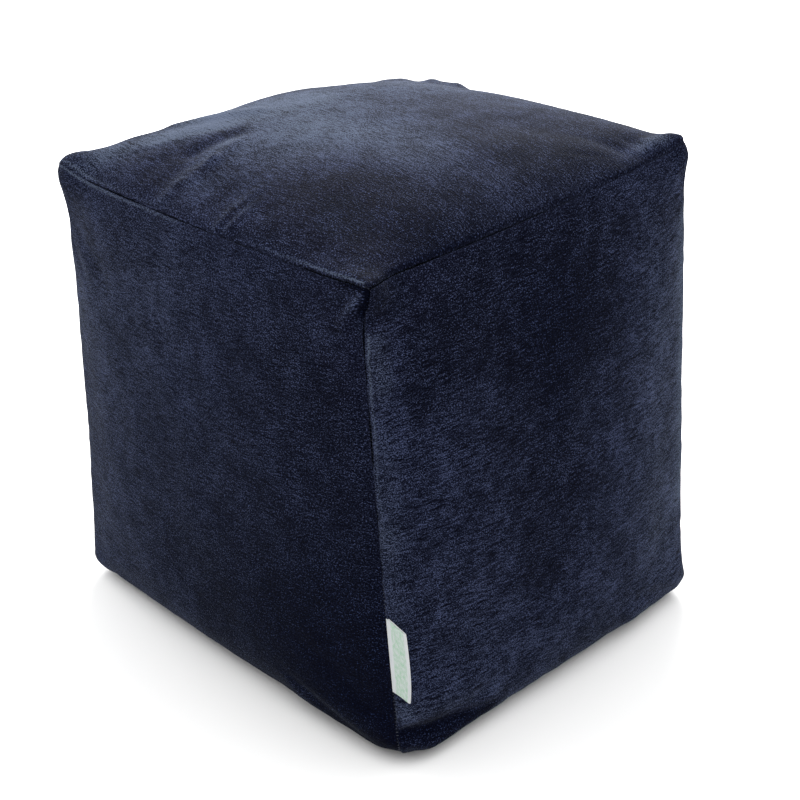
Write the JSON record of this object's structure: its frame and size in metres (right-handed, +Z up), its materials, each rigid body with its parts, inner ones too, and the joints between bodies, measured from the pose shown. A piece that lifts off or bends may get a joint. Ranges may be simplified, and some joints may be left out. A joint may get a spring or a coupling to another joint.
{
  "type": "cube pouf",
  "caption": "Soft filled cube pouf sewn from flat chenille panels, with eared corners, a crowned top and a folded tape label in one seam.",
  "frame": {"origin": "on the floor, under the middle of the pouf", "axes": "+Z up; +X the pouf's right, on the side where the label stands out; -Y its front"},
  "size_m": [0.4999, 0.46, 0.4797],
  "materials": {
    "cover_cloth": "dark navy chenille with a short streaked pile",
    "seam_cloth": "dark navy cloth, pressed flat in the seams",
    "label_tape": "pale woven tape, slightly glossy"
  },
  "bodies": {
    "root": {"pouf_body": "seam_cloth", "panel_top": "cover_cloth", "panel_front": "cover_cloth", "panel_right": "cover_cloth", "panel_back": "cover_cloth", "panel_left": "cover_cloth", "panel_base": "cover_cloth", "side_label": "label_tape"}
  },
  "joints": []
}
